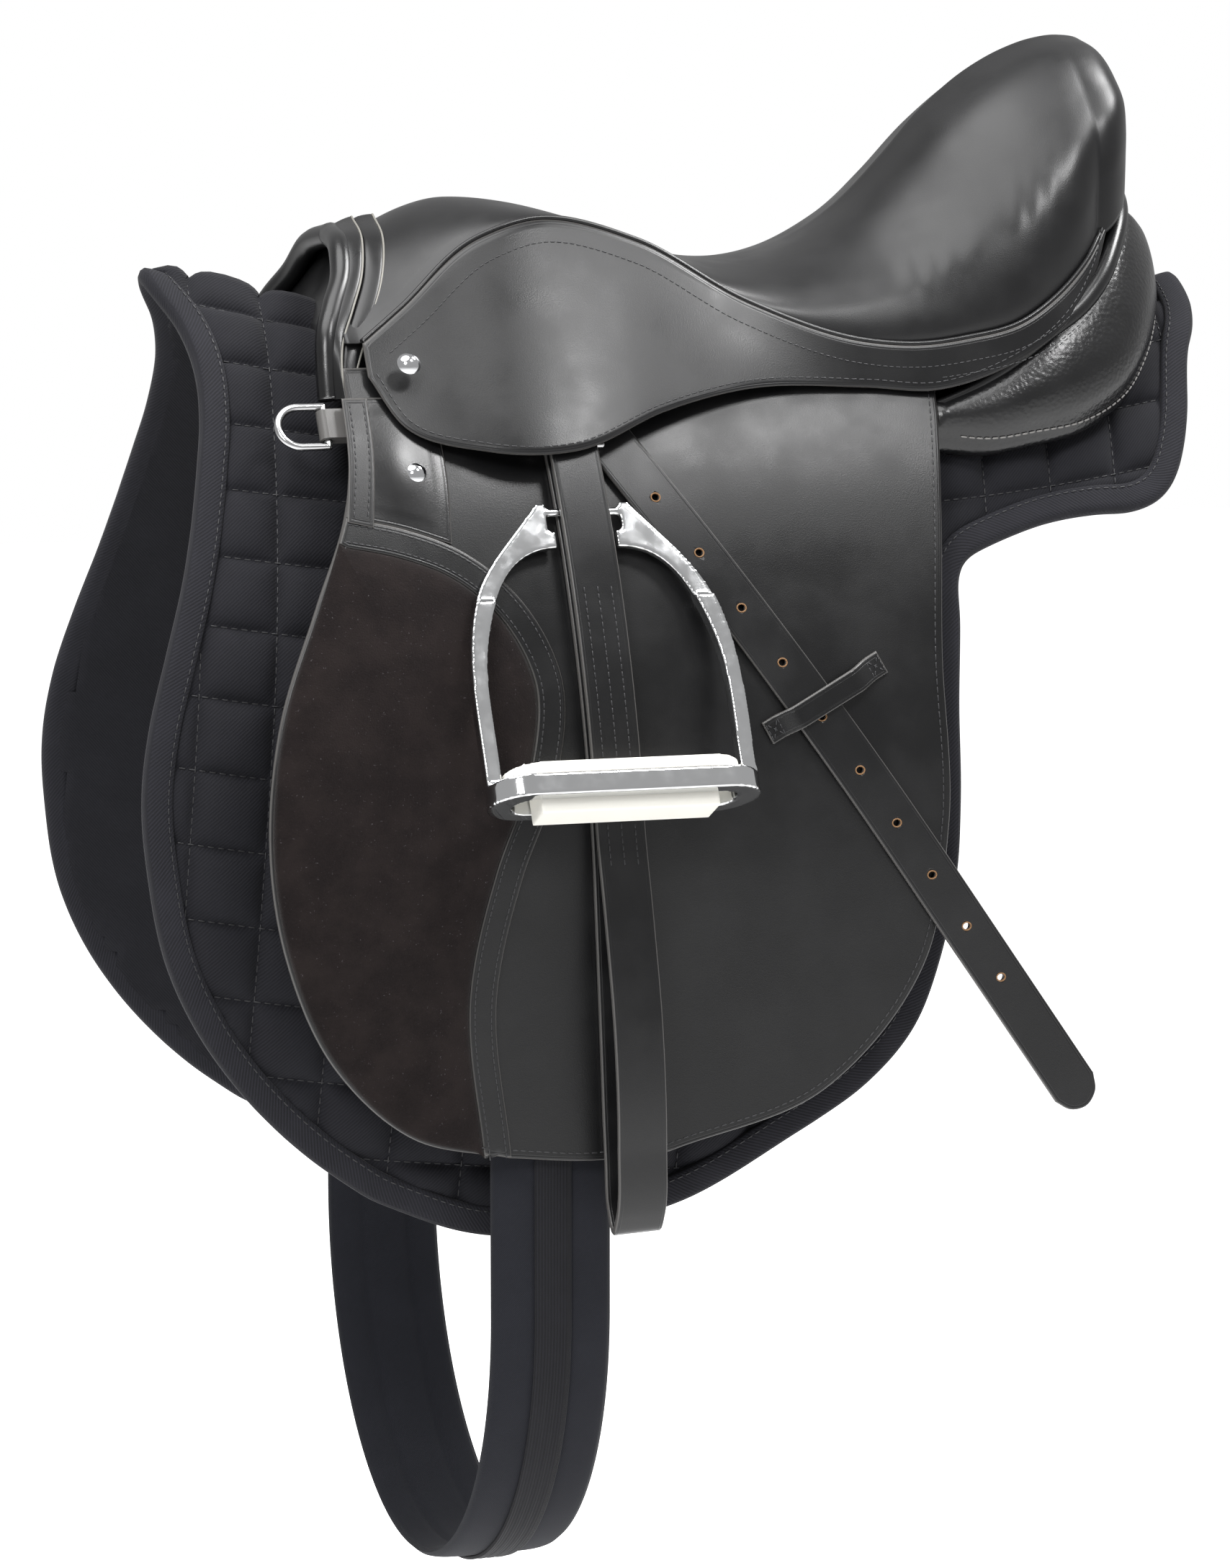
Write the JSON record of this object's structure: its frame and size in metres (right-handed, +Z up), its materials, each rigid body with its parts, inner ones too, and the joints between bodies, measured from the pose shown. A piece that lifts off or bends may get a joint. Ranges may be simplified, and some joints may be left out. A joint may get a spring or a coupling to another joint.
{
  "type": "english saddle",
  "caption": "English all-purpose horse saddle with quilted pad, lifting flaps, run-up stirrups on leathers and a hanging padded girth.",
  "frame": {"origin": "on the mid-plane under the deepest part of the seat, on the underside of the pad's spine, where the saddle rests on a rack or a horse's back", "axes": "+X from the pommel to the cantle, +Y to the off (right) side, +Z up"},
  "size_m": [0.5948, 0.4458, 0.7958],
  "materials": {
    "beech_tree": "laminated, satin",
    "plate_steel": "dull plated",
    "seat_leather": "semi-gloss, fine grain",
    "facing_leather": "gloss, rolled",
    "skirt_leather": "semi-gloss, smooth",
    "flap_leather": "semi-gloss, smooth",
    "trim_leather": "satin, stitched",
    "panel_leather": "gloss, pebbled",
    "strap_leather": "satin bridle leather",
    "suede": "matte suede",
    "quilted_cotton": "quilted cotton twill",
    "twill_binding": "diagonal twill tape",
    "girth_felt": "soft brushed cover over foam",
    "girth_web": "ribbed webbing",
    "nail_chrome": "polished",
    "ring_steel": "nickel plated",
    "iron_chrome": "polished",
    "tread_rubber": "matte moulded"
  },
  "bodies": {
    "saddle": {"tree": "beech_tree", "head_plate": "plate_steel", "seat": "seat_leather", "head_facing": "facing_leather", "cantle_piping": "facing_leather", "saddle_pad": "quilted_cotton", "pad_binding": "twill_binding", "near_panel": "panel_leather", "near_sweat_flap": "flap_leather", "near_skirt": "skirt_leather", "near_skirt_nail": "nail_chrome", "near_d_ring_tab": "trim_leather", "near_stirrup_bar": "plate_steel", "off_panel": "panel_leather", "off_sweat_flap": "flap_leather", "off_skirt": "skirt_leather", "off_skirt_nail": "nail_chrome", "off_d_ring_tab": "trim_leather", "off_stirrup_bar": "plate_steel"},
    "near_flap_body": {"near_flap": "flap_leather", "near_knee_pad": "suede", "near_knee_trim": "trim_leather", "near_flap_patch": "panel_leather", "near_flap_rivet": "nail_chrome", "near_tail_keeper": "trim_leather"},
    "near_lip_body": {"near_skirt_lip": "skirt_leather"},
    "near_leather_body": {"near_stirrup_leather": "strap_leather", "near_leather_buckle": "ring_steel"},
    "near_tongue_body": {"near_buckle_tongue": "ring_steel"},
    "near_stirrup_body": {"near_stirrup_iron": "iron_chrome", "near_stirrup_tread": "tread_rubber"},
    "near_ring_body": {"near_d_ring": "ring_steel"},
    "near_catch_body": {"near_bar_catch": "plate_steel"},
    "off_flap_body": {"off_flap": "flap_leather", "off_knee_pad": "suede", "off_knee_trim": "trim_leather", "off_flap_patch": "panel_leather", "off_flap_rivet": "nail_chrome", "off_tail_keeper": "trim_leather"},
    "off_lip_body": {"off_skirt_lip": "skirt_leather"},
    "off_leather_body": {"off_stirrup_leather": "strap_leather", "off_leather_buckle": "ring_steel"},
    "off_tongue_body": {"off_buckle_tongue": "ring_steel"},
    "off_stirrup_body": {"off_stirrup_iron": "iron_chrome", "off_stirrup_tread": "tread_rubber"},
    "off_ring_body": {"off_d_ring": "ring_steel"},
    "off_catch_body": {"off_bar_catch": "plate_steel"},
    "girth_body": {"girth": "girth_felt", "girth_webbing": "girth_web", "near_billets": "strap_leather", "off_billets": "strap_leather", "near_girth_buckles": "ring_steel", "off_girth_buckles": "ring_steel"},
    "near_girth_tongue_body": {"near_girth_tongues": "ring_steel"},
    "off_girth_tongue_body": {"off_girth_tongues": "ring_steel"}
  },
  "joints": [
    {"name": "near_flap_lift", "type": "hinge", "parent": "saddle", "child": "near_flap_body", "pos_m": [-0.0925, -0.09726, -0.012], "axis": [-1, 0, 0], "range_deg": [0, 35]},
    {"name": "near_leather_lift", "type": "hinge", "parent": "saddle", "child": "near_leather_body", "pos_m": [-0.0925, -0.09726, -0.012], "axis": [-1, 0, 0], "range_deg": [0, 35]},
    {"name": "near_skirt_lift", "type": "hinge", "parent": "saddle", "child": "near_lip_body", "pos_m": [-0.04, -0.10336, -0.0023], "axis": [-1, 0, 0], "range_deg": [0, 35]},
    {"name": "near_stirrup_swing", "type": "hinge", "parent": "near_leather_body", "child": "near_stirrup_body", "pos_m": [-0.0905, -0.13606, -0.08], "axis": [-1, 0, 0], "range_deg": [0, 35]},
    {"name": "near_buckle_tongue_turn", "type": "hinge", "parent": "near_leather_body", "child": "near_tongue_body", "pos_m": [-0.092, -0.11384, -0.038], "axis": [1, 0, 0], "range_deg": [0, 5]},
    {"name": "near_d_ring_turn", "type": "hinge", "parent": "saddle", "child": "near_ring_body", "pos_m": [-0.21, -0.09658, -0.038], "axis": [0, 0.5339, 0.8455], "range_deg": [0, 60]},
    {"name": "near_bar_catch_lift", "type": "hinge", "parent": "saddle", "child": "near_catch_body", "pos_m": [-0.066, -0.09726, -0.012], "axis": [0, -0.8387, 0.5446], "range_deg": [0, 60]},
    {"name": "near_girth_tongue_turn", "type": "hinge", "parent": "girth_body", "child": "near_girth_tongue_body", "pos_m": [-0.114, -0.1586, -0.367], "axis": [1, 0, 0], "range_deg": [0, 6]},
    {"name": "off_flap_lift", "type": "hinge", "parent": "saddle", "child": "off_flap_body", "pos_m": [-0.0925, 0.09726, -0.012], "axis": [1, 0, 0], "range_deg": [0, 35]},
    {"name": "off_leather_lift", "type": "hinge", "parent": "saddle", "child": "off_leather_body", "pos_m": [-0.0925, 0.09726, -0.012], "axis": [1, 0, 0], "range_deg": [0, 35]},
    {"name": "off_skirt_lift", "type": "hinge", "parent": "saddle", "child": "off_lip_body", "pos_m": [-0.04, 0.10336, -0.0023], "axis": [1, 0, 0], "range_deg": [0, 35]},
    {"name": "off_stirrup_swing", "type": "hinge", "parent": "off_leather_body", "child": "off_stirrup_body", "pos_m": [-0.0905, 0.13606, -0.08], "axis": [1, 0, 0], "range_deg": [0, 35]},
    {"name": "off_buckle_tongue_turn", "type": "hinge", "parent": "off_leather_body", "child": "off_tongue_body", "pos_m": [-0.092, 0.11384, -0.038], "axis": [-1, 0, 0], "range_deg": [0, 5]},
    {"name": "off_d_ring_turn", "type": "hinge", "parent": "saddle", "child": "off_ring_body", "pos_m": [-0.21, 0.09658, -0.038], "axis": [0, 0.5339, -0.8455], "range_deg": [0, 60]},
    {"name": "off_bar_catch_lift", "type": "hinge", "parent": "saddle", "child": "off_catch_body", "pos_m": [-0.066, 0.09726, -0.012], "axis": [0, -0.8387, -0.5446], "range_deg": [0, 60]},
    {"name": "off_girth_tongue_turn", "type": "hinge", "parent": "girth_body", "child": "off_girth_tongue_body", "pos_m": [-0.114, 0.1586, -0.367], "axis": [-1, 0, 0], "range_deg": [0, 6]},
    {"name": "girth_swing", "type": "hinge", "parent": "saddle", "child": "girth_body", "pos_m": [-0.114, 0, -0.072], "axis": [0, 1, 0], "range_deg": [-6, 6]}
  ],
  "couplings": [
    {"joint": "near_leather_lift", "follows": "near_flap_lift", "ratio": 1},
    {"joint": "near_skirt_lift", "follows": "near_flap_lift", "ratio": 1},
    {"joint": "off_leather_lift", "follows": "off_flap_lift", "ratio": 1},
    {"joint": "off_skirt_lift", "follows": "off_flap_lift", "ratio": 1}
  ]
}
